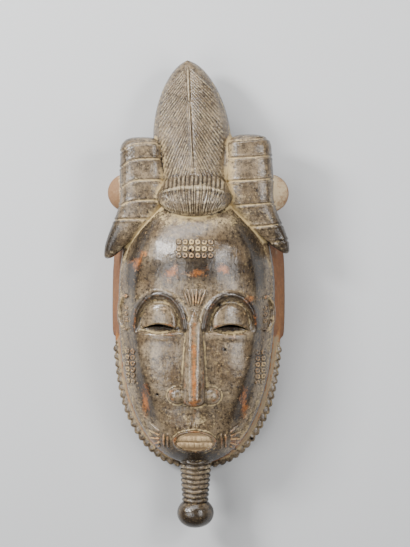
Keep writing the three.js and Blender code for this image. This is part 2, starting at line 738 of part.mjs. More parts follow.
const group = new THREE.Group();
group.add(carving);
const box = new THREE.Box3().setFromObject(carving);
carving.position.set(-(box.min.x + box.max.x) / 2, -(box.min.y + box.max.y) / 2, -box.min.z);

export default group;
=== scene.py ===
import bmesh
import bpy
import numpy as np
from math import cos, pi, radians, sin
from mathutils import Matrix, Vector
from mathutils.bvhtree import BVHTree
from types import SimpleNamespace


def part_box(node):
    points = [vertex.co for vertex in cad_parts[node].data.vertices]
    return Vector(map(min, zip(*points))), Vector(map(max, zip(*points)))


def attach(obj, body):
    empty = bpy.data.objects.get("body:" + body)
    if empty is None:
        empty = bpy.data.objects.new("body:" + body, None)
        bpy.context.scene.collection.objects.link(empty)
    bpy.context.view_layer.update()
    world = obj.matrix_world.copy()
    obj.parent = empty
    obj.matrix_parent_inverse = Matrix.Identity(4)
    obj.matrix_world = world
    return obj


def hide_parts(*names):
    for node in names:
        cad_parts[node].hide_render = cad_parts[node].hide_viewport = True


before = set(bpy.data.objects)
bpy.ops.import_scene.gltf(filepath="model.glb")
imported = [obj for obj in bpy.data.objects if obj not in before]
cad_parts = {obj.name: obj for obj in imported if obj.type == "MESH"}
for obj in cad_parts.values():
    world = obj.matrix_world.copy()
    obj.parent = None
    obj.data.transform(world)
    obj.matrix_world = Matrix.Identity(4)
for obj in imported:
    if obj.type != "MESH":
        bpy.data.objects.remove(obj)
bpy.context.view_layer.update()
low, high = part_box("mask")

# The head. The mask is hollowed from one block, so its shell and face are one curve of wood: an oval
# face that rises as a dome, and bare side walls that slope out from the face's edge to the back rim.
MM = 0.001
HEAD = {"half_width": 86, "above": 123, "below": 167.5, "square_above": 3, "square_below": 2.4}
FACE = {"half_width": 75.5, "above": 108, "below": 160, "square_above": 2.4, "square_below": 2.3}
EDGE_HEIGHT = 44
DOME = 48
BEARD_TOP = -39
WALL_INSET = 0.995
PLATE_THICKNESS = 4


def soft(value, start, end):
    """The share of the way from start to end, with soft ends."""
    share = np.clip((value - start) / (end - start), 0, 1)
    return share * share * (3 - 2 * share)


def bell(distance, reach):
    return np.exp(-((distance / reach) ** 2))


def blend(a, b, share):
    return a + (b - a) * share


def bent(value, exponent):
    """value to a power, with its sign kept."""
    return np.sign(value) * np.abs(value) ** exponent


def oval_point(turn, half_width, above, below, square_above, square_below):
    """A point on an oval whose upper and lower halves differ in height and squareness."""
    across, up = np.cos(turn), np.sin(turn)
    square = np.where(up > 0, square_above, square_below)
    height = np.where(up > 0, above, below)
    return half_width * bent(across, 2 / square), height * bent(up, 2 / square)


def oval_share(x, y, half_width, above, below, square_above, square_below):
    """0 at an oval's middle and 1 on it."""
    square = np.where(y > 0, square_above, square_below)
    height = np.where(y > 0, above, below)
    return (np.abs(x / half_width) ** square + np.abs(y / height) ** square) ** (1 / square)


# The places of the face's parts are plain shares of its height from the hairline down to the chin.
HAIRLINE, CHIN = 76, -160
FACE_HEIGHT = HAIRLINE - CHIN


def on_face(share):
    return HAIRLINE - share * FACE_HEIGHT


SCAR_LINE = on_face(1 / 8)
BROW_LINE = on_face(1 / 3)
EYE_LINE = on_face(0.45)
NOSE_END = on_face(3 / 4)
MOUTH_LINE = on_face(0.9)
EYE_OUT = FACE["half_width"] * 0.45
LID_HALF_WIDTH = 17.4
LID_RISE = 26
ARCH_HALF_WIDTH = LID_HALF_WIDTH + 7.8
ARCH_RISE = LID_RISE + 7.8


def skin(x, y):
    """Height of the plain face, without its features."""
    out = np.minimum(oval_share(x, y, **FACE), 1)
    dome = EDGE_HEIGHT + DOME * np.sqrt(np.maximum(1 - out**2.4, 0))
    forehead = 9 * bell(y - SCAR_LINE, 40) * bell(x, 52)
    muzzle = 8 * bell(y - MOUTH_LINE, 24) * bell(x, 30)
    return dome + (forehead + muzzle) * (1 - out**6)


HAIR_EDGE = {"half_width": 74, "above": 98, "below": 160, "square_above": 1.9, "square_below": 2.3}


def chisel_marks(x, y):
    """The slight waves that the adze and knife left, in millimetres."""
    long_waves = np.sin(x / 5.3 + 1.7 * np.sin(y / 17)) * np.sin(y / 9.1 + 1.3 * np.sin(x / 13))
    return 0.16 * long_waves + 0.07 * np.sin(x / 2.3 + y / 3.1) * np.sin(y / 2.9 - x / 4.7)


def brow_arch(x, y):
    """How far a point is beyond the middle of its brow's arch, and how full the brow is there."""
    aside, rise = np.abs(x) - EYE_OUT, y - EYE_LINE
    turn = np.arctan2(rise / ARCH_RISE, aside / ARCH_HALF_WIDTH)
    reach = np.hypot(rise / ARCH_RISE, aside / ARCH_HALF_WIDTH)
    span = ARCH_HALF_WIDTH * ARCH_RISE / np.hypot(ARCH_RISE * np.cos(turn), ARCH_HALF_WIDTH * np.sin(turn))
    tail = 0.75 * (1 - soft(turn, 0, 0.5)) * (aside > 0)
    return (reach - 1) * span, (1 - tail) * soft(rise, -4, 2)


def face_height(x, y):
    """Height of the carved face: sunken eye sockets under arched brow ridges, and full cheeks.

    The face steps down at its sides to a ledge with the ears and scars, and above to the hair's edge.
    """
    aside, rise = np.abs(x) - EYE_OUT, y - EYE_LINE
    beyond, full = brow_arch(x, y)
    socket = 5.2 * (1 - soft(beyond, -6.5, -1)) * soft(rise, -2.6, -0.6)
    brow = 3 * (1 - soft(np.abs(beyond), 1, 5)) * full
    side_step = 4 * soft(oval_share(x, y, **FACE), 0.74, 0.87) * soft(np.abs(x), 28, 46)
    hair_step = 1.6 * soft(oval_share(x, y, **HAIR_EDGE), 0.97, 1.02) * soft(y, 18, 34)
    cheek = 2.6 * bell(np.abs(x) - 44, 22) * bell(y - EYE_LINE + 34, 30)
    under_lid = 1.4 * bell(rise + 6, 4) * bell(aside, 16)
    philtrum = 1.2 * bell(x, 4) * bell(y - MOUTH_LINE - 24, 8)
    edge = 1 - soft(oval_share(x, y, **FACE), 0.93, 1)
    carved = brow - socket + cheek + under_lid - philtrum - side_step - hair_step + chisel_marks(x, y)
    return skin(x, y) + carved * edge


def points_of(mesh):
    flat = np.empty(len(mesh.vertices) * 3)
    mesh.vertices.foreach_get("co", flat)
    return flat.reshape(-1, 3)


def linear(tint):
    """An sRGB hex colour such as "8a7b6c" as linear RGBA."""
    parts = [int(tint[start : start + 2], 16) / 255 for start in (0, 2, 4)]
    return [part / 12.92 if part <= 0.04045 else ((part + 0.055) / 1.055) ** 2.4 for part in parts] + [1]


def node(tree, kind, inputs=None, **settings):
    """Adds a node with its settings; an input is a plain value or the socket that feeds it."""
    made = tree.nodes.new(kind)
    for name, value in settings.items():
        setattr(made, name, value)
    for name, value in (inputs or {}).items():
        if isinstance(value, bpy.types.NodeSocket):
            tree.links.new(value, made.inputs[name])
        else:
            made.inputs[name].default_value = value
    return made


def mixed(tree, share, below, above):
    """The colour above laid over the colour below by a share."""
    mix = node(tree, "ShaderNodeMix", data_type="RGBA")
    for socket, value in zip((mix.inputs[0], mix.inputs[6], mix.inputs[7]), (share, below, above)):
        if isinstance(value, bpy.types.NodeSocket):
            tree.links.new(value, socket)
        else:
            socket.default_value = value
    return mix.outputs[2]


def maths(tree, operation, *values):
    return node(tree, "ShaderNodeMath", dict(enumerate(values)), operation=operation).outputs[0]


def spread(tree, value, start, end):
    """0 below the start value, 1 above the end value."""
    limits = {"Value": value, "From Min": start, "From Max": end}
    return node(tree, "ShaderNodeMapRange", limits, interpolation_type="SMOOTHSTEP").outputs[0]


def mottle(tree, size, detail=3, stretch=1, roughness=0.55):
    """Noise with lumps of a size in millimetres, drawn out along the block's grain, which is Y."""
    place = node(tree, "ShaderNodeTexCoord").outputs["Object"]
    drawn = node(tree, "ShaderNodeMapping", {"Vector": place, "Scale": (1, 1 / stretch, 1)})
    noise = {"Vector": drawn.outputs[0], "Scale": 0.5 / (size * MM), "Detail": detail, "Roughness": roughness}
    return node(tree, "ShaderNodeTexNoise", noise).outputs["Fac"]


def worn_wood(name, deep, middle, light, dust_and_light, rubbed, polish, grit=1, dusting=1, blotches=0.4):
    """Old carved hardwood: soot, oil and painted shade darken it, dust lies in its cuts, painted light pales
    it and handling bares its edges.

    The tints are sRGB hex, from the deepest patina to the lightest, then the dust, also used as painted
    light, and the bared wood.
    polish is the roughness of the handled patina, grit is how coarse its skin is, and dusting and
    blotches are the shares of lying dust and of dark blotches.
    """
    wood = bpy.data.materials.new(name)
    wood.use_nodes = True
    tree = wood.node_tree
    shader = tree.nodes["Principled BSDF"]
    field = {
        label: node(tree, "ShaderNodeAttribute", attribute_name=label).outputs["Fac"]
        for label in ("dust_and_light", "rub", "soot_and_shade")
    }
    clouds = mottle(tree, 14, 4)
    grain = mottle(tree, 0.9, 3, stretch=14)
    speckle = mottle(tree, 1.3, 4, roughness=0.75)
    patches = mottle(tree, 4, 5, roughness=0.75)

    def weighed(value, weight):
        return maths(tree, "MULTIPLY", value, weight)

    flaky = maths(tree, "SUBTRACT", maths(tree, "ADD", patches, weighed(speckle, 0.6)), 0.8)
    tone = mixed(tree, spread(tree, clouds, 0.3, 0.7), linear(middle), linear(light))
    tone = mixed(tree, weighed(spread(tree, patches, 0.45, 0.65), blotches), tone, linear(deep))
    tone = mixed(tree, weighed(spread(tree, grain, 0.45, 0.75), 0.3), tone, linear(deep))
    pores = weighed(spread(tree, speckle, 0.49, 0.33), 0.9)
    tone = mixed(tree, pores, tone, linear(deep))
    # Soot, and painted shade on steep sides and in cuts, darken the tone towards the deepest tint.
    sooty_and_shaded = maths(tree, "ADD", weighed(field["soot_and_shade"], 1.3), weighed(flaky, 0.8))
    tone = mixed(tree, weighed(spread(tree, sooty_and_shaded, 0, 1.1), 0.85), tone, linear(deep))
    bare = maths(tree, "ADD", weighed(field["rub"], 1.3), weighed(flaky, 2.4))
    tone = mixed(tree, weighed(spread(tree, bare, 0.25, 1.1), 0.75), tone, linear(rubbed))
    # Lying dust, and painted light on the right bun, pale the tone towards the dust tint.
    lying = maths(tree, "ADD", weighed(field["dust_and_light"], 1.2), weighed(flaky, 2.4))
    lying = weighed(spread(tree, lying, 0.25, 1.1), dusting)
    tone = mixed(tree, lying, tone, linear(dust_and_light))
    clean = maths(tree, "SUBTRACT", 0.5, weighed(field["soot_and_shade"], 0.4))
    tone = mixed(tree, weighed(spread(tree, speckle, 0.54, 0.72), clean), tone, linear(dust_and_light))
    tree.links.new(tone, shader.inputs["Base Color"])
    gloss = maths(tree, "ADD", polish, weighed(lying, 0.85 - polish))
    gloss = maths(tree, "ADD", gloss, weighed(patches, 0.12))
    tree.links.new(gloss, shader.inputs["Roughness"])
    fine_grit = maths(tree, "ADD", weighed(speckle, 1.1), grain)
    broad_grit = maths(tree, "ADD", weighed(patches, 2.5), weighed(clouds, 5))
    skin_height = maths(tree, "ADD", fine_grit, broad_grit)
    bump = {"Height": skin_height, "Strength": 0.6, "Distance": 0.25 * grit * MM}
    tree.links.new(node(tree, "ShaderNodeBump", bump).outputs[0], shader.inputs["Normal"])
    return wood


# The face's patina is nearly black where it is thick, grey-brown where it is thin, and handled to a
# soft sheen, with the orange wood bared on what stands out.
patina = worn_wood(
    "dark_patina",
    deep="1a1410",
    middle="5a4935",
    light="82725c",
    dust_and_light="bda677",
    rubbed="a8642e",
    polish=0.1,
    blotches=0.6,
)

# The side walls were never blackened: they are dry orange-brown wood with the tool's marks in it.
side_wood = worn_wood(
    "bare_side_wood",
    deep="5c351a",
    middle="9a6230",
    light="b8824a",
    dust_and_light="8f8068",
    rubbed="b9783f",
    polish=0.75,
    grit=1.5,
    dusting=0.9,
)


def finished(name, form, wood=patina):
    """An object from a bmesh form, with seams and poles closed and its faces turned outwards."""
    bmesh.ops.remove_doubles(form, verts=form.verts, dist=0.01 * MM)
    bmesh.ops.recalc_face_normals(form, faces=form.faces)
    mesh = bpy.data.meshes.new(name)
    form.to_mesh(mesh)
    form.free()
    mesh.materials.append(wood)
    mesh.shade_smooth()
    piece = bpy.data.objects.new(name, mesh)
    bpy.context.scene.collection.objects.link(piece)
    return piece


def moved_grid(across, along, place):
    """A bmesh grid whose points place(u, v) puts in millimetres; u and v run from 0 to 1."""
    form = bmesh.new()
    bmesh.ops.create_grid(form, x_segments=across, y_segments=along, size=0.5)
    spots = np.array([corner.co[:2] for corner in form.verts]) + 0.5
    for corner, spot in zip(form.verts, np.stack(place(spots[:, 0], spots[:, 1]), 1) * MM):
        corner.co = spot
    return form


def surface(name, across, along, place, wood=patina):
    """A closed piece from a grid: u goes once round it and v from one end to the other."""
    return finished(name, moved_grid(across, along, place), wood)


def face_spot(u, v):
    """The square grid drawn out to the face's oval, a little denser towards its edge."""
    across, up = (np.sin(0.8 * (2 * side - 1)) / sin(0.8) for side in (u, v))
    disc_x = across * np.sqrt(1 - up**2 / 2)
    disc_y = up * np.sqrt(1 - across**2 / 2)
    edge_x, edge_y = oval_point(np.arctan2(disc_y, disc_x), **FACE)
    out = np.minimum(np.hypot(disc_x, disc_y), 1)
    x, y = out * edge_x, out * edge_y
    return x, y, face_height(x, y)


def face_plate():
    """The face's front, as a plate that the side walls carry."""
    form = moved_grid(132, 214, face_spot)
    rim = [edge for edge in form.edges if edge.is_boundary]
    drawn = bmesh.ops.extrude_edge_only(form, edges=rim)["geom"]
    for corner in drawn:
        if isinstance(corner, bmesh.types.BMVert):
            corner.co.z = (EDGE_HEIGHT - PLATE_THICKNESS) * MM
    bmesh.ops.holes_fill(form, edges=[edge for edge in form.edges if edge.is_boundary])
    return finished("carving", form)


def wall_spot(u, v):
    """From inside the face plate out to its edge, down the side to the back rim, and in across the back."""
    turn = 2 * pi * u
    face_x, face_y = oval_point(turn, **FACE)
    head_x, head_y = oval_point(turn, **HEAD)
    under_beard = soft(-head_y, -BEARD_TOP - 2, -BEARD_TOP + 2)
    down = np.clip((v - 0.1) / 0.8, 0, 1)
    under_ledge = 0.12 + 0.58 * soft(down, 0.4, 0.6)
    reach = blend(down, under_ledge, under_beard)
    height = (EDGE_HEIGHT - 1) * (1 - down)
    open_out = np.where(v < 0.1, v / 0.1, np.where(v > 0.9, (1 - v) / 0.1, 1))
    waver = 0.35 * np.sin(5 * turn + 3 * down) * down
    x = blend(face_x, head_x, reach) * open_out
    y = blend(face_y, head_y, reach) * open_out
    return x * (WALL_INSET + waver / HEAD["half_width"]), y * WALL_INSET, height


def combine(piece, other, operation):
    """Adds the other's wood to the piece, or cuts it away, and takes the other out of the scene."""
    step = piece.modifiers.new(operation, "BOOLEAN")
    step.object = other
    step.operation = operation
    step.solver = "MANIFOLD"
    step.material_mode = "TRANSFER"
    with bpy.context.temp_override(object=piece, active_object=piece):
        bpy.ops.object.modifier_apply(modifier=step.name)
    bpy.data.objects.remove(other)


def join(piece, *others):
    """Makes the others one with the piece. They may touch the piece, but not each other."""
    form = bmesh.new()
    for other in others:
        form.from_mesh(other.data)
    together = finished(others[0].name, form, others[0].data.materials[0])
    for other in others:
        bpy.data.objects.remove(other)
    combine(piece, together, "UNION")


mask = face_plate()
join(mask, surface("wall", 260, 20, wall_spot, side_wood))

# The eyes. Under each brow a half-moon lid bulges out of the sunken socket, and below its heavy lower
# edge a crescent bed has been cut, with a narrow slit right through for the wearer to see by.
LID_SHOULDER, LID_FULLEST = 7, 6
LID_SAG = 5.2
LID_SINK, LID_BULGE = 5.4, 6.2
BED_HEIGHT = 79
OVER_ALL = 140


def lid_foot(aside):
    """How far over the eye line the lid's lower edge is."""
    return LID_SAG * (1 - (aside / LID_HALF_WIDTH) ** 2)


def column(name, across, along, place, floor, roof, wood=patina):
    """A closed piece over the flat outline place(turn, out), between a floor and a roof."""

    def spot(u, v):
        out = np.minimum(np.minimum(v, 1 - v) / 0.45, 1)
        x, y = place(2 * pi * u, out)
        return x, y, np.where(v < 0.5, floor(x, y), roof(x, y))

    return surface(name, across, along, spot, wood)


def lid(side):
    def place(turn, out):
        aside = out * LID_HALF_WIDTH * bent(np.cos(turn), 0.8)
        arch = LID_SHOULDER + out * (LID_RISE - LID_SHOULDER) * np.sin(turn)
        foot = blend(LID_SHOULDER, lid_foot(aside), out * np.sqrt(np.maximum(-np.sin(turn), 0)))
        return side * (EYE_OUT + aside), EYE_LINE + np.where(np.sin(turn) > 0, arch, foot)

    def roof(x, y):
        aside, rise = np.abs(x) - EYE_OUT, y - EYE_LINE
        over = np.maximum(rise - LID_FULLEST, 0) / (LID_RISE - LID_FULLEST)
        puff = np.sqrt(np.maximum(1 - over**2 - (aside / LID_HALF_WIDTH) ** 2, 0))
        lip = 1.1 * (1 - soft(rise - lid_foot(aside), -0.5, 2.2))
        return skin(x, y) - LID_SINK + LID_BULGE * puff**0.5 - lip + chisel_marks(x, y)

    return column("lid", 96, 40, place, lambda x, y: skin(x, y) - 12, roof)


def crescent(side, top, bottom, floor):
    """A blade the shape of the gap under a lid, to cut with from above down to a floor.

    Its top is a distance over the lid's lower edge, and its bottom a share of that edge's own height.
    """

    def spot(u, v):
        turn = 2 * pi * u
        aside = 0.96 * LID_HALF_WIDTH * np.cos(turn)
        open_out = np.clip(3 * np.minimum(v, 1 - v), 0, 1)
        upper, lower = lid_foot(aside) + top, lid_foot(aside) * bottom
        rise = np.where(np.sin(turn) > 0, upper, lower)
        rise = blend(lid_foot(aside) * 0.6, rise, np.sqrt(np.abs(np.sin(turn))))
        x = side * (EYE_OUT + aside * open_out)
        return x, EYE_LINE + blend(2, rise, open_out), np.where(v < 0.5, floor, OVER_ALL)

    return surface("crescent", 64, 7, spot)


for side in (-1, 1):
    join(mask, lid(side))
    combine(mask, crescent(side, top=0.6, bottom=-0.75, floor=BED_HEIGHT), "DIFFERENCE")

# The nose: a long straight ridge with a flattened back, that grows out from between the brows and ends
# in a blunt tip between two round nostril wings, which together are as wide as a third of the face.
BRIDGE_HALF_WIDTH, TIP_HALF_WIDTH = 4.4, 9.6
BRIDGE_RISE, TIP_RISE = 2.6, 24
WING_RADII = (9.8, 8.4, 8.2)
NOSTRIL_OUT, NOSTRIL_RADII = 11.5, (3.6, 2.6, 3)


def nose_spot(u, v):
    turn = 2 * pi * u
    down = 1 - (1 - v) ** 1.4
    y = blend(blend(BROW_LINE, EYE_LINE, 0.3), NOSE_END - 1, down)
    shut = np.minimum(1, 10 * v) * np.sqrt(np.maximum(0, 1 - np.maximum(0, (v - 0.8) / 0.2) ** 2))
    half_width = blend(BRIDGE_HALF_WIDTH, TIP_HALF_WIDTH, soft(down, -0.4, 1.1)) * shut
    rise = blend(BRIDGE_RISE, TIP_RISE, down**1.25) * shut
    over = np.sin(turn) > 0
    height = np.where(over, rise * np.abs(np.sin(turn)) ** 0.62, 6 * np.sin(turn))
    flare = 1 + 0.28 * (1 - np.abs(np.sin(turn))) * over
    return half_width * flare * bent(np.cos(turn), 0.72), y, face_height(0 * y, y) + height


def ball(name, middle, radii, across=28, along=18, wood=patina):
    """An egg shape whose poles point along Y."""

    def spot(u, v):
        turn, fall = 2 * pi * u, pi * v
        x = middle[0] + radii[0] * np.sin(fall) * np.cos(turn)
        z = middle[2] + radii[2] * np.sin(fall) * np.sin(turn)
        return x, middle[1] + radii[1] * np.cos(fall), z

    return surface(name, across, along, spot, wood)


join(mask, surface("nose", 48, 64, nose_spot))
for side in (-1, 1):
    wing_x, wing_y = side * (FACE["half_width"] / 3 - TIP_HALF_WIDTH), NOSE_END + TIP_HALF_WIDTH
    wing_z = float(skin(wing_x, wing_y)) + 3.2
    join(mask, ball("nostril wing", (wing_x, wing_y, wing_z), WING_RADII))
    pit = ball("nostril", (side * NOSTRIL_OUT, NOSE_END - 0.2, wing_z + 1), NOSTRIL_RADII)
    combine(mask, pit, "DIFFERENCE")

# The mouth: a raised oval lip round a flat plate, scored with two rows of teeth.
LIP_HALF_WIDTH, LIP_HALF_HEIGHT, LIP_RELIEF = 19, 10.5, 4.6
TOOTH_PITCH, TOOTH_RELIEF = 4.6, 1.8
ochre = worn_wood(
    "ochre_filled_wood",
    deep="8a7050",
    middle="b79a72",
    light="cdb48c",
    dust_and_light="c9b48e",
    rubbed="b98a56",
    polish=0.7,
    grit=1.6,
    dusting=0.7,
)


def lip_spot(u, v):
    turn, around = 2 * pi * u, 2 * pi * v
    out = 1 + 0.13 * np.cos(around) * (1 + 0.1 * np.sin(9 * turn))
    x = LIP_HALF_WIDTH * out * np.cos(turn)
    y = MOUTH_LINE + LIP_HALF_HEIGHT * out * np.sin(turn)
    return x, y, face_height(x, y) + LIP_RELIEF * np.sin(around)


def mouth_outline(turn, out):
    return out * LIP_HALF_WIDTH * np.cos(turn), MOUTH_LINE + out * LIP_HALF_HEIGHT * np.sin(turn)


def tooth_relief(x, y):
    """Two rows of teeth, from 0 between them to 1 on them."""
    rise = (y - MOUTH_LINE) / LIP_HALF_HEIGHT
    row = np.minimum(np.abs(rise) / 0.6, 1)
    gaps = np.abs(np.sin(pi * (x / TOOTH_PITCH + 0.5 * soft(rise, -0.1, 0.1) + 0.12 * np.sin(x)))) ** 0.5
    return gaps * np.maximum(np.sin(pi * row), 0) ** 0.6


def teeth(x, y):
    """Height of the mouth's plate, with the parting between its rows of teeth."""
    parting = 1.2 * bell((y - MOUTH_LINE) / LIP_HALF_HEIGHT, 0.08)
    return face_height(x, y) + 1 + TOOTH_RELIEF * tooth_relief(x, y) - parting


join(mask, column("mouth plate", 96, 44, mouth_outline, lambda x, y: skin(x, y) - 4, teeth, ochre))
join(mask, surface("lip", 96, 18, lip_spot))

# The scars: raised studs in blocks on the forehead and cheeks, and bars, rays and leaf-shaped strokes
# beside the mouth and between the brows. The ears are small rings of wood at the face's edge.
CHEEK_SCARS_OUT = 62.5
CHEEK_LINE = (EYE_LINE + NOSE_END) / 2
EAR_OUT = 67.5
EAR_LINE = EYE_LINE + 16
MARK_HALF_WIDTH = 1.35


def stroke(name, path, half_width, relief, along=14, around=10, sink=3, thick=5):
    """A raised stroke with thin ends along path(v) on the face."""

    def spot(u, v):
        turn = 2 * pi * u
        x, y = path(v)
        ahead_x, ahead_y = (after - before for after, before in zip(path(v + 0.01), path(v - 0.01)))
        length = np.hypot(ahead_x, ahead_y)
        taper = np.sqrt(np.maximum(1 - np.abs(2 * v - 1) ** thick, 0))
        across = half_width * taper * np.cos(turn)
        up = (relief - sink) / 2 + (relief + sink) / 2 * taper * np.sin(turn)
        return x - ahead_y / length * across, y + ahead_x / length * across, face_height(x, y) + up

    return surface(name, around, along, spot)


def straight(start, end):
    return lambda v: (blend(start[0], end[0], v), blend(start[1], end[1], v))


def stud(x, y, radius=2.8, relief=2.3):
    def place(turn, out):
        reach = radius * out * (1 - 0.12 * np.cos(4 * turn))
        return x + reach * np.cos(turn), y + reach * np.sin(turn)

    def roof(over_x, over_y):
        out = np.hypot(over_x - x, over_y - y) / radius
        rise = relief * np.sqrt(np.maximum(1.25 - out**2, 0)) - 2 * bell(out, 0.4)
        return face_height(over_x, over_y) + rise - 0.5

    return column("stud", 12, 9, place, lambda over_x, over_y: skin(over_x, over_y) - 4, roof)


def stud_block(middle_x, middle_y, columns, rows, pitch_x, pitch_y):
    across = (np.arange(columns) - (columns - 1) / 2) * pitch_x
    up = (np.arange(rows) - (rows - 1) / 2) * pitch_y
    return [stud(middle_x + x, middle_y + y) for x in across for y in up]


def scars():
    marks = stud_block(0, SCAR_LINE, 6, 3, 6, 6.4)
    for side in (-1, 1):
        marks += stud_block(side * CHEEK_SCARS_OUT, CHEEK_LINE, 2, 6, 5.6, 5.8)
        root_x = side * (LIP_HALF_WIDTH + 6.4)
        for bar in range(2):
            x = root_x + side * 3.9 * bar
            ends = straight((x, MOUTH_LINE + 8), (x, MOUTH_LINE - 8))
            marks.append(stroke("bar", ends, MARK_HALF_WIDTH, 1.9))
        for ray in range(5):
            share = ray / 4
            turn, reach = radians(blend(38, -42, share)), blend(13.5, 8, share)
            start = (root_x + side * 8, MOUTH_LINE + blend(9, -5, share))
            end = (start[0] + side * reach * cos(turn), start[1] + reach * sin(turn))
            marks.append(stroke("ray", straight(start, end), MARK_HALF_WIDTH, 2.2))

        def ring(v, side=side):
            turn = blend(radians(115), radians(-115), v)
            return side * (EAR_OUT + 6.4 * np.cos(turn)), EAR_LINE + 16 * np.sin(turn)

        marks.append(stroke("ear", ring, 2.4, 3.3, along=40, sink=6, thick=14))
        marks += [stud(side * (EAR_OUT - 1), EAR_LINE + rise, 2.1, 1.6) for rise in (-7, -1, 5)]
    for leaf in range(6):
        share = leaf / 5 - 0.5
        ends = straight((22 * share, BROW_LINE + 12), (9 * share, BROW_LINE - 5))
        marks.append(stroke("brow mark", ends, 1.5, 1.9, thick=2))
    for row in range(3):
        for place in range(3 - row):
            x = (place - (2 - row) / 2) * 4.6
            marks.append(stud(x, BROW_LINE - 7.5 - 4.4 * row + 4, 1.8, 1.2))
    for x in (-3, 0.6, 4):
        marks.append(stroke("lip mark", straight((x, MOUTH_LINE + 14), (x, MOUTH_LINE + 19)), 1, 0.9))
    return marks


join(mask, *scars())

# The beard: a thin ledge round the jaw, cut along its edge into round scallops like a fringe. Hair is
# never handled as the face is, so its patina stays dull and takes the dust.
hair_patina = worn_wood(
    "dusty_patina",
    deep="1c1611",
    middle="544635",
    light="7b6b56",
    dust_and_light="bda577",
    rubbed="ab9b7e",
    polish=0.15,
    grit=1.3,
    dusting=0.8,
    blotches=0.75,
)
BEARD_SCALLOPS = 44
BEARD_DEPTH, BEARD_HEIGHT, BEARD_HALF_THICKNESS = 10, 16.5, 4.5
BEARD_START = np.arcsin((-BEARD_TOP / HEAD["below"]) ** (HEAD["square_below"] / 2))


def beard_spot(u, v):
    around = 2 * pi * u
    turns = np.linspace(-BEARD_START, -pi + BEARD_START, 2000)
    edge_x, edge_y = oval_point(turns, **HEAD)
    run = np.concatenate([[0], np.cumsum(np.hypot(np.diff(edge_x), np.diff(edge_y)))])
    along = np.clip((v - 0.004) / 0.992, 0, 1) * run[-1]
    x, y = np.interp(along, run, edge_x), np.interp(along, run, edge_y)
    ahead_x = np.interp(along + 1, run, edge_x) - np.interp(along - 1, run, edge_x)
    ahead_y = np.interp(along + 1, run, edge_y) - np.interp(along - 1, run, edge_y)
    length = np.hypot(ahead_x, ahead_y)
    out_x, out_y = -ahead_y / length, ahead_x / length
    down = np.minimum(along, run[-1] - along)
    scallop = np.sin(pi * (BEARD_SCALLOPS * down / run[-1] % 1) ** 1.5) ** 0.6
    closed = np.where((v < 0.002) | (v > 0.998), 0, 1)
    cut_back = 7 * (1 - soft(down, -2, 11)) + 2 * soft(y, -112, -60)
    outer = 2.3 * (scallop - 0.5) - cut_back
    half_depth = np.where(np.cos(around) > 0, outer + BEARD_DEPTH, BEARD_DEPTH)
    reach = half_depth * bent(np.cos(around), 0.5) - BEARD_DEPTH
    on_top = np.sin(around) > 0
    grooves = 0.8 * (1 - scallop) * soft(reach, -6.5, -1) * on_top
    border = 0.7 * bell(reach + 7.5, 1) * on_top
    height = BEARD_HEIGHT + BEARD_HALF_THICKNESS * bent(np.sin(around), 0.5)
    height = height - grooves + border - 0.8 * soft(reach, -2, 1) * on_top
    reach, height = blend(-BEARD_DEPTH, reach, closed), blend(BEARD_HEIGHT, height, closed)
    return x + out_x * reach, y + out_y * reach, height


join(mask, surface("beard", 22, 440, beard_spot, hair_patina))

# The beard plait: a tapering neck bound with rings, each a little bent at the front, and a knob that
# is held and rubbed whenever the mask is put on.
PLAIT_TOP, PLAIT_LENGTH, PLAIT_HEIGHT, KNOB_LENGTH = -155.5, 42, 42, 25
PLAIT_RADIUS, PLAIT_END_RADIUS, KNOB_RADIUS = 15.9, 12.7, 17.8
RINGS, RING_DEPTH = 9, 2.3


def plait_spot(u, v):
    turn = 2 * pi * u
    kink = 1.3 * np.maximum(np.sin(turn), 0) ** 6
    ring = np.abs(np.sin(pi * RINGS * (v - kink / PLAIT_LENGTH))) ** 0.5
    radius = blend(PLAIT_RADIUS, PLAIT_END_RADIUS, v) - RING_DEPTH * (1 - ring)
    radius = radius * ((v > 0) & (v < 1))
    return radius * np.cos(turn), PLAIT_TOP - PLAIT_LENGTH * v, PLAIT_HEIGHT + radius * np.sin(turn)


def knob_spot(u, v):
    turn, fall = 2 * pi * u, blend(0.2, 1, v) * pi
    radius = KNOB_RADIUS * np.sin(fall) ** 0.9 * (v > 0) * (1 + 0.012 * np.sin(5 * turn + 2))
    down = (cos(0.2 * pi) - np.cos(fall)) / (cos(0.2 * pi) + 1)
    y = PLAIT_TOP - PLAIT_LENGTH + 1 - (KNOB_LENGTH + 1) * down
    return radius * np.cos(turn), y, PLAIT_HEIGHT + radius * np.sin(turn)


join(mask, surface("plait", 56, 126, plait_spot, hair_patina))
join(mask, surface("knob", 56, 28, knob_spot))

# The crest: a leaf of hair that stands over the forehead and leans a little to one side. Fine hair
# lines run from its midrib down to its edges, inside a smooth rim.
CREST_TIP, CREST_FOOT = 230, 98
CREST_HALF_WIDTH = 37.5
CREST_BACK = 26
CREST_WIDEST = 0.45
CREST_LEAN = radians(4)
CREST_SHIFT = 1.5
HAIR_PITCH, HAIR_RELIEF = 2, 1.7


def crest_half_width(y):
    open_out = np.clip((CREST_TIP - y) / 80, 0, 1)
    waist = soft(-y, -CREST_FOOT - 60, -CREST_FOOT - 10)
    return CREST_HALF_WIDTH * np.sin(open_out * pi / 2) ** 0.55 * (1 - 0.12 * waist)


def crest_front(y):
    return blend(84, 44, ((y - CREST_FOOT) / (CREST_TIP - CREST_FOOT)) ** 2)


def crest_skin(x, y):
    """Height of the crest's front, which is a little rounded across."""
    out = np.minimum(np.abs(x) / np.maximum(crest_half_width(y), 0.01), 1)
    middle = blend(CREST_BACK, crest_front(y), CREST_WIDEST)
    return middle + (crest_front(y) - middle) * np.sqrt(1 - out**2)


def leaning(x, y, z):
    """Turns the upright crest about its foot, and shifts it to where it was carved."""
    x, up = x - CREST_SHIFT, y - CREST_FOOT
    across = x * cos(CREST_LEAN) - up * sin(CREST_LEAN)
    along = CREST_FOOT + x * sin(CREST_LEAN) + up * cos(CREST_LEAN)
    return across, along, z


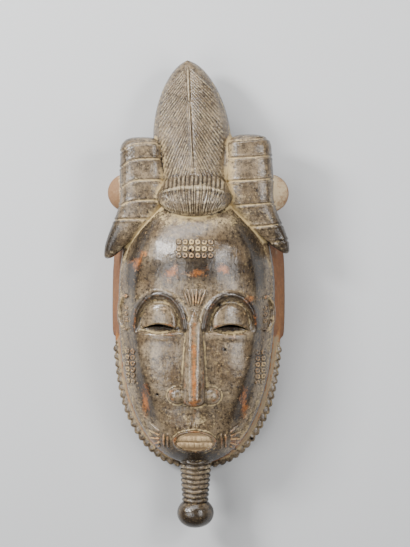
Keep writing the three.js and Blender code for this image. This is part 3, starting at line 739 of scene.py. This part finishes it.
def crest_spot(u, v):
    turn = 2 * pi * u
    y = blend(CREST_FOOT - 3, CREST_TIP, np.sin(v * pi / 2))
    shut = (v > 0) & (v < 1)
    x = crest_half_width(y) * np.cos(turn) * shut
    middle = blend(CREST_BACK, crest_front(y), CREST_WIDEST)
    back = middle + (middle - CREST_BACK) * 0.9 * np.sin(turn) * shut
    front = blend(middle, crest_skin(x, y), shut)
    return leaning(x, y, np.where(np.sin(turn) > 0, front, back))


def hair_lines(side):
    """One half of the crest's front: a sheet whose rows run along the carved hairs."""
    apexes, slopes = [CREST_FOOT + 8], []
    while apexes[-1] < CREST_TIP - 9:
        slopes.append(float(blend(2.6, 1.1, soft(apexes[-1], CREST_FOOT + 10, CREST_TIP))))
        apexes.append(apexes[-1] + HAIR_PITCH * np.hypot(1, slopes[-1]))
    slopes.append(slopes[-1])
    hairs = len(apexes) - 1

    def spot(u, v):
        hair = v * hairs
        apex = np.interp(hair, np.arange(hairs + 1), apexes)
        slope = np.interp(hair, np.arange(hairs + 1), slopes)
        reach = 0 * v + 20
        for _ in range(30):
            reach = blend(reach, 0.88 * crest_half_width(apex - slope * reach) - 2.2, 0.4)
        out = 1 - np.abs(2 * u - 1)
        x = 1.7 + out * reach
        y = apex - slope * out * reach
        rim = soft(out, 0, 0.07) * (1 - soft(out, 0.93, 1))
        ridge = HAIR_RELIEF * np.abs(np.sin(pi * hair)) ** 0.6 - 0.9
        ends = (v > 0) & (v < 1)
        lift = np.where(u < 0.5, ridge * rim, -2 * np.sin(pi * out)) * ends - 0.6 * (1 - rim)
        return leaning(side * x, y, crest_skin(x, y) + lift)

    return surface("hair", 32, hairs * (6), spot, hair_patina)


def midrib(top, bottom, half_width, relief):
    """A ridge down the crest's middle, between two distances under its tip."""

    def spot(u, v):
        turn = 2 * pi * u
        y = CREST_TIP - blend(bottom, top, v)
        taper = np.maximum(1 - (2 * v - 1) ** 6, 0) ** 0.5
        rise = np.where(np.sin(turn) > 0, relief, 1.5) * np.sin(turn)
        return leaning(half_width * taper * np.cos(turn), y, crest_skin(0, y) + rise * taper)

    return surface("midrib", 10, 24, spot, hair_patina)


crest = surface("crest", 44, 64, crest_spot, hair_patina)
join(crest, hair_lines(-1), hair_lines(1))
join(crest, midrib(6, 43, 1.5, 1.4))
join(crest, midrib(44, 108, 0.9, 0.7))
join(mask, crest)

# The roll: hair drawn over a pad across the crest's foot. It is full below its ridge and leans back
# above it, and is fluted nearly from end to end. Its section's two rows are shares, one step a column:
# how far up the roll, and how far out of the head.
ROLL_HALF_WIDTH = 37
ROLL_BASE, ROLL_RISE = 60, 37
LOWER_PITCH, UPPER_PITCH, FLUTE_DEPTH = 2.9, 4.1, 1.7
RIDGE_RELIEF = 1.7
ROLL_SECTION = np.array(
    [[0, 0, 0.03, 0.12, 0.28, 0.6, 0.66, 1, 1, 0.5, 0], [0, 0.4, 0.75, 0.92, 1, 1, 0.9, 0.45, 0, -0.3, 0]]
)


def roll_spot(u, v):
    x = ROLL_HALF_WIDTH * (2 * v - 1)
    open_out = np.sqrt(np.maximum(1 - (x / ROLL_HALF_WIDTH) ** 2, 0))
    section_run = np.linspace(0, 1, ROLL_SECTION.shape[1])
    height, swell = (np.interp(u, section_run, row) for row in ROLL_SECTION)
    y = blend(CREST_FOOT - 22 * open_out, CREST_FOOT + 25 * open_out, height * open_out**0.2)
    fan = 0.68 + 0.32 * soft(height, 0, 0.6)
    lower = np.abs(np.sin(pi * (x / fan / LOWER_PITCH + 0.22 * np.sin(0.9 * x)))) ** 0.7
    upper = np.abs(np.sin(pi * x / UPPER_PITCH)) ** 0.5
    on_front = soft(swell, 0.3, 0.6)
    plain = np.maximum(soft(np.abs(x), 29, 35), 1 - soft(height, 0.02, 0.1))
    flute = blend(blend(lower, 1.3 * upper, soft(height, 0.57, 0.68)), 0.8, plain)
    flute = FLUTE_DEPTH * flute * on_front
    wander = 0.62 + 0.012 * np.sin(x / 5) - 0.05 * (x / ROLL_HALF_WIDTH) ** 2 - 0.02 * bell(x, 3)
    ridge = RIDGE_RELIEF * bell(height - wander, 0.045) * (1 - soft(np.abs(x), 24, 36))
    z = ROLL_BASE + ROLL_RISE * swell * open_out**0.6
    return x - CREST_SHIFT, y, z - (1.9 - flute - ridge) * on_front * (open_out > 0)


join(mask, surface("roll", 60, 208, roll_spot, hair_patina))

# The tresses: a broad lock down each side of the face, bound with cords and flung out at its tip.
# A web of wood ties each to the crest, and behind each stands a round bun of bare wood. The cords'
# heights and the ends of the two locks differ, as they were carved by eye.
CORDS = {-1: [147.2, 132, 112, 92.6, 74.7], 1: [153.5, 136.6, 114.8, 91.6, 71.8, 56.8]}
TRESS_ENDS = {-1: (154, 37), 1: (157, 43)}
TRESS_KNEE = 92
TRESS_CROWN = 13
TRESS_OUT = 89
TRESS_MIDDLE = 51
TRESS_RISE = 23


def tress(side):
    top, tip = TRESS_ENDS[side]

    def spot(u, v):
        turn = 2 * pi * u
        crown = np.minimum(v / 0.12, 1)
        over_crown = top - TRESS_CROWN * (1 - np.cos(crown * pi / 2))
        y = np.where(v < 0.12, over_crown, blend(top - TRESS_CROWN, tip, (v - 0.12) / 0.88))
        open_out = np.sin(crown * pi / 2) ** 0.6 * np.sqrt(1 - np.clip((v - 0.975) / 0.025, 0, 1) ** 2)
        fall = np.maximum((TRESS_KNEE - y) / (TRESS_KNEE - tip), 0)
        room = np.maximum(y - CREST_FOOT, 0) * sin(CREST_LEAN) * (side < 0)
        inner = blend(28 + room, 83, fall**1.25)
        shoulder = 71 + 0.8 * room + 2.5 * bell(y - 109, 25)
        outer = blend(shoulder, TRESS_OUT, soft(-y, -TRESS_KNEE - 12, -tip - 4))
        cut = 0 * y
        for cord in CORDS[side]:
            outward = soft(np.cos(turn), -0.4, 1)
            drop = 8 * soft(cord, 66, 110) * outward**2 if side < 0 else 3.5 * (1 - outward) + outward**3
            below = y - cord + drop
            cut += 0.9 * bell(below, 0.9) - 0.5 * bell(np.abs(below) - 2, 0.9)
        strands = 0.15 * np.sin(15 * turn + np.sin(y / 7)) * np.sin(y / 11 + turn) * soft(v, 0.05, 0.15)
        wide = open_out * ((outer - inner) / 2 - cut - strands)
        tall = open_out * (TRESS_RISE * blend(1, 0.35, fall**1.5) - cut - strands)
        x = (inner + outer) / 2 + wide * bent(np.cos(turn), 0.62)
        return side * x, y, TRESS_MIDDLE + tall * bent(np.sin(turn), 0.62)

    return surface("tress", 56, 160, spot, hair_patina)


# The buns' wood is bare and dry, and paler than the side walls.
bun_wood = worn_wood(
    "pale_bun_wood",
    deep="7d5a3a",
    middle="a98258",
    light="c4a57c",
    dust_and_light="d3c09c",
    rubbed="c0905c",
    polish=0.65,
    grit=1.6,
    dusting=0.8,
)
WEB_OUT, WEB_UP, WEB_MIDDLE, WEB_RADII = 28, 127.5, 49, (9, 34, 17)
BUN_OUT, BUN_UP, BUN_MIDDLE, BUN_RADIUS = 70, 102, 26, 18.5

for side in (-1, 1):
    join(mask, tress(side))
    lean = (WEB_UP - CREST_FOOT) * sin(CREST_LEAN) * (side < 0)
    web_middle = (side * (WEB_OUT + lean), WEB_UP, WEB_MIDDLE)
    join(mask, ball("web", web_middle, WEB_RADII, 24, 24, hair_patina))
    bun_middle = (side * BUN_OUT, BUN_UP, BUN_MIDDLE)
    join(mask, ball("bun", bun_middle, [BUN_RADIUS] * 3, 48, 30, bun_wood))

# The hollow behind the face, where the wearer's face goes. It was dug out with an adze to an even wall,
# and the two slits under the lids run through it.
WALL = 14
HOLLOW = {
    "half_width": HEAD["half_width"] - WALL,
    "above": HEAD["above"] - WALL,
    "below": HEAD["below"] - 1.4 * WALL,
    "square_above": 2.6,
    "square_below": 2.1,
}
RIM_CLEARANCE = 3
raw_wood = worn_wood(
    "raw_hollow_wood",
    deep="4e3826",
    middle="6e5138",
    light="8a6b4c",
    dust_and_light="8f7f66",
    rubbed="7d5b3c",
    polish=0.7,
    grit=2.5,
    dusting=0.5,
)


def hollow_spot(u, v):
    turn = 2 * pi * u
    inner_x, inner_y = oval_point(turn, **HOLLOW)
    climb = np.clip((v - 0.1) / 0.9, 0, 1) * pi / 2
    reach = np.where(v < 0.1, v / 0.1, np.cos(climb) ** 0.7)
    depth = EDGE_HEIGHT + DOME - WALL
    bites = 0.5 * np.sin(9 * turn) * np.sin(16 * v) * (v > 0.12) * (1 - v) ** 0.3
    height = np.where(v < 0.1, -RIM_CLEARANCE, depth * np.sin(climb) ** 0.7 + bites)
    return inner_x * reach, inner_y * reach, height


combine(mask, surface("hollow", 110, 50, hollow_spot, raw_wood), "DIFFERENCE")
for side in (-1, 1):
    combine(mask, crescent(side, top=0.5, bottom=0.62, floor=-RIM_CLEARANCE), "DIFFERENCE")

# Worm holes, as insects left them in the old wood: some in the face, and one in the beard's ledge.
# They are too narrow for the dust, and are painted black inside and round their mouths as painted shade.
FACE_WORM_HOLES = ((-4, 45), (23, -6), (29, -48), (-35, -91))
BEARD_WORM_HOLE = (54, -138)
WORM_HOLE_RADIUS = 1.1
WORM_HOLE_DEPTH = 8
BEARD_HOLE_BOTTOM = 14


def worm_hole(x, y, bottom):
    def outline(turn, out):
        return x + WORM_HOLE_RADIUS * out * np.cos(turn), y + WORM_HOLE_RADIUS * out * np.sin(turn)

    return column("worm hole", 10, 5, outline, lambda x, y: bottom, lambda x, y: OVER_ALL)


for hole in FACE_WORM_HOLES:
    combine(mask, worm_hole(*hole, skin(*hole) - WORM_HOLE_DEPTH), "DIFFERENCE")
combine(mask, worm_hole(*BEARD_WORM_HOLE, BEARD_HOLE_BOTTOM), "DIFFERENCE")

# How the mask has aged: soot and handling have blackened it, dust lies wherever the surface is under
# the mean height around it, and the patina is rubbed off what stands proud of it. Painted shade rides with
# the soot on steep sides, in deep cuts, on the left bun and in the worm holes, and painted light with the
# dust on the right bun.
CELL = 0.8
ACROSS = np.arange(-92, 92, CELL)
UP = np.arange(-228, 234, CELL)


def height_map(piece):
    """Heights of the front in millimetres, one for each cell of a grid, without a value off the wood."""
    wood = BVHTree.FromObject(piece, bpy.context.evaluated_depsgraph_get())
    heights = np.full((len(UP), len(ACROSS)), np.nan)
    for row, y in enumerate(UP):
        for place, x in enumerate(ACROSS):
            spot = wood.ray_cast((x * MM, y * MM, 0.2), (0, 0, -1))[0]
            if spot:
                heights[row, place] = spot.z / MM
    return heights


def mean_around(heights, reach):
    """The mean height within about a reach of each cell, over the wood alone."""
    weight = ~np.isnan(heights)
    steps = int(2.5 * reach / CELL)
    kernel = bell(np.arange(-steps, steps + 1) * CELL, reach)
    sums = []
    for layer in (np.where(weight, heights, 0), weight.astype(float)):
        for axis in (0, 1):
            layer = np.apply_along_axis(np.convolve, axis, layer, kernel, mode="same")
        sums.append(layer)
    return sums[0] / np.maximum(sums[1], 1e-6)


def at_points(layer, x, y):
    """A layer's values at points, in straight steps between its cells."""
    row = np.clip((y - UP[0]) / CELL, 0, len(UP) - 1.001)
    place = np.clip((x - ACROSS[0]) / CELL, 0, len(ACROSS) - 1.001)
    low_row, low_place = row.astype(int), place.astype(int)
    near_side, far_side = (
        blend(layer[low_row + step, low_place], layer[low_row + step, low_place + 1], place - low_place)
        for step in (0, 1)
    )
    return blend(near_side, far_side, row - low_row)


def patch(x, y, middle_x, middle_y, half_width, half_height):
    """A patch of wear with soft edges, 1 at its middle."""
    return np.exp(-(((x - middle_x) / half_width) ** 2) - ((y - middle_y) / half_height) ** 2)


def both_sides(x, y, out, *rest):
    """The same patch on the left and on the right."""
    return patch(x, y, -out, *rest) + patch(x, y, out, *rest)


def hollowness(piece, x, y):
    """How far each point lies under the mean height around it, in a fine, a near and a wide ring."""
    heights = height_map(piece)
    fine, near, wide = (
        at_points(np.nan_to_num(mean_around(heights, reach) - heights), x, y) for reach in (1.3, 3.5, 11)
    )
    cut, proud = soft(fine, 0, 0.3), soft(-fine, 0, 0.35)
    return SimpleNamespace(fine=fine, near=near, wide=wide, cut=cut, proud=proud)


def features(x, y, z):
    """Where each feature that ages, or takes painted light or shade, in its own way is, from 0 off it to 1 on
    it.
    """
    at = SimpleNamespace()
    face_share = oval_share(x, y, **FACE)
    beside = soft(np.abs(x), 26, 46)
    at.face = (z > EDGE_HEIGHT - 3) & (face_share < 1)
    at.face_edge = soft(face_share, 0.85, 0.95)
    # The bank is the steep slope where the face steps down to its ledge; it takes painted shade.
    at.bank = soft(face_share, 0.66, 0.79) * (1 - soft(face_share, 0.84, 0.93)) * beside
    at.ledge = soft(face_share, 0.87, 0.94) * beside * (1 - soft(y, 10, 50))
    over_hair_edge = HAIR_EDGE["half_width"] * (oval_share(x, y, **HAIR_EDGE) - 1.02)
    at.hair_edge = bell(over_hair_edge, 1.6) * soft(y, 18, 34)

    beyond, full = brow_arch(x, y)
    at.brow = (1 - soft(np.abs(beyond), 1.5, 4.5)) * full
    at.over_brow = bell(beyond - 5, 1.2) * full
    at.socket = full * soft(-beyond, 1, 3) * at.face
    # The eye bed is the cut under each lid's lower edge; it takes painted shade.
    at.eye_bed = both_sides(x, y, EYE_OUT, EYE_LINE + 1, 15, 3)
    mouth_share = np.hypot(x / LIP_HALF_WIDTH, (y - MOUTH_LINE) / LIP_HALF_HEIGHT)
    at.mouth = soft(1 - mouth_share, 0.13, 0.2)
    at.forehead_scars = patch(x, y, 0, SCAR_LINE, 19, 10)
    scars = patch(x, y, 0, SCAR_LINE, 20, 12) + patch(x, y, 0, BROW_LINE + 2, 12, 14)
    scars += both_sides(x, y, CHEEK_SCARS_OUT, CHEEK_LINE, 7, 22)
    scars += both_sides(x, y, 36, MOUTH_LINE, 14, 13) + both_sides(x, y, EAR_OUT - 0.5, EAR_LINE, 7, 20)
    at.scars = np.minimum(1.3 * scars, 1) * at.face

    off_midrib = np.abs(x + CREST_SHIFT + np.maximum(y - CREST_FOOT, 0) * np.tan(CREST_LEAN))
    crest_share = off_midrib / np.maximum(crest_half_width(y), 1)
    crest = soft(y, HAIRLINE - 1, HAIRLINE + 5) * (1 - soft(crest_share, 0.84, 0.95))
    at.plait = soft(-y, 158, 160)
    at.fine_hair = crest + at.plait
    at.gap = both_sides(x, y, 32, 127, 4.5, 38) * (z < 78)
    at.tress = soft(np.abs(x), 33, 37) * soft(y, 50, 60) * (z > 50)
    at.tress_tips = both_sides(x, y, 84, 62, 10, 26) * (z > 30)
    # The left bun takes painted shade and the right bun painted light.
    at.left_bun = patch(x, y, -84, 101, 11, 20) * (z < 46)
    at.right_bun = patch(x, y, 84, 104, 10, 18) * (z < 46)
    at.beard = (face_share > 0.995) * soft(-y, 42, 50) * soft(z, 21, 23) * soft(np.abs(x), 16, 20)
    at.knob = soft(-y, 194, 200)
    eaten = sum(2 * patch(x, y, *hole, 1.3, 1.3) for hole in (*FACE_WORM_HOLES, BEARD_WORM_HOLE))
    at.worm_hole = np.minimum(eaten, 1)
    return at


def dust_and_light_share(x, y, at, under):
    """Dust lies in cuts and hollows, under the hair, and round what a cloth can't reach; the right bun's
    share is painted light.
    """
    dust_and_light = 0.75 * soft(under.fine, 0.1, 0.6) * (1 - 0.9 * at.fine_hair) * (1 - 0.8 * at.scars)
    dust_and_light += 0.4 * soft(under.near, 0.6, 2.4) * (1 - 0.8 * at.socket)
    dust_and_light *= 1 - 0.8 * patch(x, y, 0, NOSE_END + 20, 28, 34)
    dust_and_light += 0.2 * soft(under.wide, 2, 7) * (1 - at.fine_hair) * (1 - at.socket)
    # The right bun is lightened with the dust colour as painted light.
    dust_and_light += 0.5 * at.gap + 0.6 * at.tress * under.cut + 0.9 * at.right_bun + 0.32 * at.beard
    dust_and_light += (0.35 * at.scars + 0.8 * at.forehead_scars) * under.proud
    dust_and_light += (0.25 * at.ledge + 0.45 * at.hair_edge + 0.25 * at.over_brow) * at.face
    dust_and_light += 0.5 * patch(x, y, 0, HAIRLINE - 2, 55, 7) + 0.35 * patch(x, y, 0, MOUTH_LINE + 19, 24, 7)
    dust_and_light += 0.4 * patch(x, y, 0, 122, 30, 4) + 0.35 * both_sides(x, y, 40, 96, 9, 22)
    return dust_and_light * (1 - at.worm_hole)


# Where handling has bared the orange wood of the forehead and brows: place and reach of each spot.
BARED_SPOTS = ((-20, 24, 8), (-56, 33, 8), (-48, 42, 5), (27, 27, 7), (5, 24, 7), (52, 0, 5))


def rub_share(x, y, at, under):
    """The patina is rubbed off edges, hair ridges, studs, the nose's back and the cheekbones."""
    rub = 0.3 * soft(-under.near, 0.6, 2) * (1 - at.face_edge * at.face)
    rub += 0.55 * at.fine_hair * (1 - 0.7 * at.plait) * under.proud
    rub += (0.45 * at.scars + 0.4 * at.forehead_scars) * under.proud
    rub += 0.5 * patch(x, y, -CREST_SHIFT, 104, 24, 3)
    rub += 0.75 * patch(x, y, 0, CHEEK_LINE, 2.6, 44)
    rub += 0.65 * both_sides(x, y, 47, NOSE_END + 2, 4, 17)
    rub += 0.4 * both_sides(x, y, 38, MOUTH_LINE, 5, 5)
    for spot_x, spot_y, reach in BARED_SPOTS:
        rub += 0.65 * patch(x, y, spot_x, spot_y, reach, 0.7 * reach)
    return rub * (1 - at.knob) * (1 - at.worm_hole)


def soot_and_shade_share(x, y, at, under, facing):
    """Soot and oil where hands held it; painted shade on steep sides, in deep cuts, the left bun and worm
    holes.
    """
    # Steep sides, which face away from the lights above, are darkened as painted shade.
    soot_and_shade = 0.8 * (1 - facing) + 0.5 * soft(np.abs(x), 68, 86) * soft(y, 30, 50)
    soot_and_shade += patch(x, y, 0, 28, 54, 13) + 0.5 * patch(x, y, 34, 55, 16, 9)
    # The steep bank beside the face and the cuts between the scars are darkened as painted shade.
    soot_and_shade += (0.75 * at.bank * (1 - at.scars) + 0.75 * at.brow + 0.5 * at.scars * under.cut) * at.face
    # The beds under the lids, the deep sockets, the gaps between the teeth and the hair's grooves are
    # darkened as painted shade.
    soot_and_shade += 0.8 * at.eye_bed + 0.5 * at.socket * soft(under.near, 0.5, 2)
    soot_and_shade += 0.9 * at.mouth * (1 - tooth_relief(x, y)) ** 2
    soot_and_shade += 0.9 * at.fine_hair * soft(under.fine, 0.05, 0.5)
    # The left bun is darkened as painted shade.
    soot_and_shade += 0.45 * at.beard + 0.6 * at.tress_tips + at.left_bun
    soot_and_shade += patch(x, y, 0, CHIN + 7, 36, 9) + patch(x, y, 0, -214, 24, 20)
    # The worm holes are painted black as painted shade.
    return soot_and_shade + at.worm_hole


def age(piece):
    """Sets where dust with painted light, rubbed wood, and soot with painted shade are, from 0 to 1, as
    attributes that the finishes read.
    """
    x, y, z = (points_of(piece.data) / MM).T
    normals = np.empty(len(z) * 3)
    piece.data.vertex_normals.foreach_get("vector", normals)
    at, under = features(x, y, z), hollowness(piece, x, y)
    facing = np.maximum(soft(normals[2::3], 0.1, 0.5), np.minimum(1.3 * at.gap, 1))
    soot_and_shade = np.clip(soot_and_shade_share(x, y, at, under, facing), 0, 1)
    dust_and_light = dust_and_light_share(x, y, at, under) * facing * (1 - 0.7 * soot_and_shade)
    for label, share in (("dust_and_light", dust_and_light), ("rub", rub_share(x, y, at, under)), ("soot_and_shade", soot_and_shade)):
        layer = piece.data.attributes.new(label, "FLOAT", "POINT")
        layer.data.foreach_set("value", np.clip(share, 0, 1))


age(mask)

# The mask lies with the middle of its outline over the frame's origin.
points = points_of(mask.data)
shift = (np.array(low) + np.array(high)) / 2 - (points.min(0) + points.max(0)) / 2
shift[2] = 0
mask.data.vertices.foreach_set("co", (points + shift).ravel())
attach(mask, "root")
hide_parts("mask")

# The pale floor that the mask lies on, with soft light from both sides and from beyond the crest. Each
# light has its place, what it aims at and its size, all in metres, and its watts.
form = bmesh.new()
bmesh.ops.create_grid(form, x_segments=1, y_segments=1, size=2)
card = bpy.data.materials.new("pale_card")
card.use_nodes = True
card.node_tree.nodes["Principled BSDF"].inputs["Base Color"].default_value = linear("b9babb")
card.node_tree.nodes["Principled BSDF"].inputs["Roughness"].default_value = 0.8
floor = finished("floor", form, card)


def softbox(name, place, aim, size, power):
    light = bpy.data.lights.new(name, "AREA")
    light.shape = "RECTANGLE"
    light.size, light.size_y = size
    light.energy = power
    lamp = bpy.data.objects.new(name, light)
    bpy.context.scene.collection.objects.link(lamp)
    lamp.location = place
    lamp.rotation_euler = (Vector(aim) - lamp.location).to_track_quat("-Z", "Y").to_euler()


softbox("left_softbox", (-0.95, 0.55, 0.98), (0, 0.2, 0.05), (0.3, 0.36), 26)
softbox("right_softbox", (0.75, 0.35, 1.1), (0, 0.1, 0.05), (0.25, 0.3), 8)
softbox("left_fill", (-0.7, -0.22, 1.2), (0, 0.7, 0), (0.7, 0.7), 11)
softbox("right_fill", (0.75, -0.12, 1.15), (0, 0.7, 0), (0.55, 0.7), 9)
softbox("top_softbox", (-0.2, 1.05, 0.75), (0, 0.7, 0), (1.2, 0.3), 19)
world = bpy.data.worlds.new("room")
bpy.context.scene.world = world
world.use_nodes = True
world.node_tree.nodes["Background"].inputs["Color"].default_value = (0.7, 0.7, 0.7, 1)
world.node_tree.nodes["Background"].inputs["Strength"].default_value = 0.2

# The camera looks down on the face from 1.6 metres, two degrees off the upright and turned a trifle.
CAMERA_HEIGHT = 1.6
CAMERA_TILT = radians(2)
CAMERA_TURN = radians(0.4)
VIEW_WIDTH = 0.3968
VIEW_MIDDLE = (0.0078, 0.0203, 0.042)
lens = bpy.data.cameras.new("camera")
lens.sensor_fit = "HORIZONTAL"
lens.angle_x = 2 * np.arctan(VIEW_WIDTH / 2 / CAMERA_HEIGHT)
camera = bpy.data.objects.new("camera", lens)
bpy.context.scene.collection.objects.link(camera)
camera.location = (
    VIEW_MIDDLE[0] + CAMERA_HEIGHT * sin(CAMERA_TILT),
    VIEW_MIDDLE[1],
    VIEW_MIDDLE[2] + CAMERA_HEIGHT * cos(CAMERA_TILT),
)
camera.rotation_euler = (0, CAMERA_TILT, CAMERA_TURN)
bpy.context.scene.camera = camera
